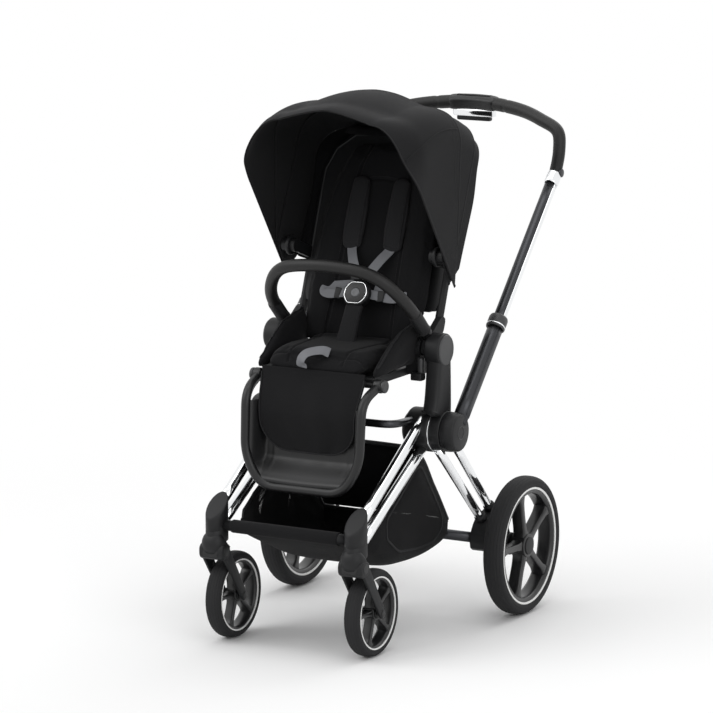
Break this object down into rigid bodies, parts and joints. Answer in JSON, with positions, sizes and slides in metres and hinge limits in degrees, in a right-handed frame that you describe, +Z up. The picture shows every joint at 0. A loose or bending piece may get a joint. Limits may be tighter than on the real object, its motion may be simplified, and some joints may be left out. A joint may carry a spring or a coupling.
{
  "type": "baby stroller",
  "caption": "Folding pushchair with a padded reclining seat, canopy, bumper bar, legrest, basket, telescopic push bar, swivelling front wheels and large rear wheels.",
  "frame": {"origin": "on the floor, at the middle of the whole width and length", "axes": "+Z up from the floor, -Y forwards (the way it rolls), +X towards the right of someone facing the seat"},
  "size_m": [0.583, 0.87, 1.1147],
  "materials": {
    "plastic": "satin",
    "chrome_tube": "polished",
    "dark_tube": "satin",
    "seat_fabric": "matte",
    "canopy_fabric": "matte",
    "basket_fabric": "matte",
    "webbing": "matte",
    "leather": "satin",
    "legrest_plastic": "satin",
    "tyre": "matte",
    "rim": "satin",
    "button": "gloss"
  },
  "bodies": {
    "front_frame": {"hub_housing_left": "plastic", "hub_housing_right": "plastic", "seat_post_left": "plastic", "seat_post_right": "plastic", "swivel_tower_left": "plastic", "swivel_tower_right": "plastic", "front_upper_tube_left": "chrome_tube", "front_upper_tube_right": "chrome_tube", "front_lower_tube_left": "chrome_tube", "front_lower_tube_right": "chrome_tube", "hip_wing_left": "seat_fabric", "hip_wing_right": "seat_fabric", "harness_webbing_left": "webbing", "harness_webbing_right": "webbing", "bumper_socket_left": "plastic", "bumper_socket_right": "plastic", "front_crossbar": "plastic", "fold_bar": "dark_tube", "seat_base": "plastic", "seat_cushion": "seat_fabric", "crotch_pad": "seat_fabric", "buckle_housing": "plastic", "basket": "basket_fabric"},
    "rear_frame": {"rear_front_leg_left": "chrome_tube", "rear_front_leg_right": "chrome_tube", "rear_back_leg_left": "chrome_tube", "rear_back_leg_right": "chrome_tube", "rear_bracket_left": "plastic", "rear_bracket_right": "plastic", "rear_crossbar": "dark_tube"},
    "brake": {"brake_pedal": "plastic"},
    "push_bar": {"push_tube_lower_left": "dark_tube", "push_tube_lower_right": "dark_tube", "clamp_sleeve_left": "plastic", "clamp_sleeve_right": "plastic"},
    "telescope": {"push_tube_upper_left": "dark_tube", "push_tube_upper_right": "dark_tube", "handlebar": "leather"},
    "lever": {"adjuster_lever": "plastic"},
    "button": {"buckle_button": "button"},
    "bumper": {"bumper_bar": "leather"},
    "legrest": {"legrest_frame": "legrest_plastic", "legrest_tray": "legrest_plastic"},
    "backrest": {"backrest_frame": "plastic", "back_cushion": "seat_fabric", "shoulder_pad_left": "seat_fabric", "shoulder_pad_right": "seat_fabric", "canopy_rear": "canopy_fabric"},
    "canopy_bow": {"canopy_middle": "canopy_fabric"},
    "canopy_visor": {"canopy_front": "canopy_fabric"},
    "caster_left": {"caster_fork_left": "plastic"},
    "front_wheel_left": {"front_tyre_left": "tyre", "front_rim_left": "rim"},
    "rear_wheel_left": {"rear_tyre_left": "tyre", "rear_rim_left": "rim"},
    "caster_right": {"caster_fork_right": "plastic"},
    "front_wheel_right": {"front_tyre_right": "tyre", "front_rim_right": "rim"},
    "rear_wheel_right": {"rear_tyre_right": "tyre", "rear_rim_right": "rim"}
  },
  "joints": [
    {"name": "chassis_fold", "type": "hinge", "parent": "front_frame", "child": "rear_frame", "pos_m": [0, -0.106, 0.4258], "axis": [1, 0, 0], "range_deg": [-60, 0], "deforming": ["basket"]},
    {"name": "push_bar_fold", "type": "hinge", "parent": "front_frame", "child": "push_bar", "pos_m": [0, -0.106, 0.4258], "axis": [1, 0, 0], "range_deg": [0, 81]},
    {"name": "handle_telescope", "type": "slide", "parent": "push_bar", "child": "telescope", "axis": [0, 0.6892, 0.7245], "range_m": [-0.055, 0.045]},
    {"name": "lever_pull", "type": "slide", "parent": "telescope", "child": "lever", "axis": [0, 0, 1], "range_m": [0, 0.006], "stiffness_N_per_m": 300, "springref_m": -0.003},
    {"name": "backrest_recline", "type": "hinge", "parent": "front_frame", "child": "backrest", "pos_m": [0, -0.106, 0.595], "axis": [-1, 0, 0], "range_deg": [0, 40]},
    {"name": "canopy_fold", "type": "hinge", "parent": "backrest", "child": "canopy_bow", "pos_m": [0, -0.08, 0.782], "axis": [-1, 0, 0], "range_deg": [0, 28]},
    {"name": "canopy_visor_fold", "type": "hinge", "parent": "canopy_bow", "child": "canopy_visor", "pos_m": [0, -0.08, 0.782], "axis": [-1, 0, 0], "range_deg": [0, 28]},
    {"name": "legrest_lift", "type": "hinge", "parent": "front_frame", "child": "legrest", "pos_m": [0, -0.271, 0.541], "axis": [-1, 0, 0], "range_deg": [0, 35]},
    {"name": "bumper_pull", "type": "slide", "parent": "front_frame", "child": "bumper", "axis": [0, -0.7314, 0.682], "range_m": [0, 0.06]},
    {"name": "brake_pedal_tilt", "type": "hinge", "parent": "rear_frame", "child": "brake", "pos_m": [0, 0.032, 0.174], "axis": [-1, 0, 0], "range_deg": [0, 15]},
    {"name": "buckle_press", "type": "slide", "parent": "front_frame", "child": "button", "axis": [0, 0.8752, -0.4837], "range_m": [0, 0.003], "stiffness_N_per_m": 500, "springref_m": -0.001},
    {"name": "caster_swivel_left", "type": "hinge", "parent": "front_frame", "child": "caster_left", "pos_m": [-0.162, -0.406, 0.215], "axis": [0, 0, 1], "continuous": true},
    {"name": "front_wheel_spin_left", "type": "hinge", "parent": "caster_left", "child": "front_wheel_left", "pos_m": [-0.162, -0.342, 0.09], "axis": [1, 0, 0], "continuous": true},
    {"name": "rear_wheel_spin_left", "type": "hinge", "parent": "rear_frame", "child": "rear_wheel_left", "pos_m": [-0.2695, 0.1238, 0.147], "axis": [1, 0, 0], "continuous": true},
    {"name": "caster_swivel_right", "type": "hinge", "parent": "front_frame", "child": "caster_right", "pos_m": [0.162, -0.406, 0.215], "axis": [0, 0, 1], "continuous": true},
    {"name": "front_wheel_spin_right", "type": "hinge", "parent": "caster_right", "child": "front_wheel_right", "pos_m": [0.162, -0.342, 0.09], "axis": [1, 0, 0], "continuous": true},
    {"name": "rear_wheel_spin_right", "type": "hinge", "parent": "rear_frame", "child": "rear_wheel_right", "pos_m": [0.2695, 0.1238, 0.147], "axis": [1, 0, 0], "continuous": true}
  ],
  "couplings": [
    {"joint": "push_bar_fold", "follows": "chassis_fold", "ratio": -1.35},
    {"joint": "canopy_visor_fold", "follows": "canopy_fold", "ratio": 1}
  ]
}
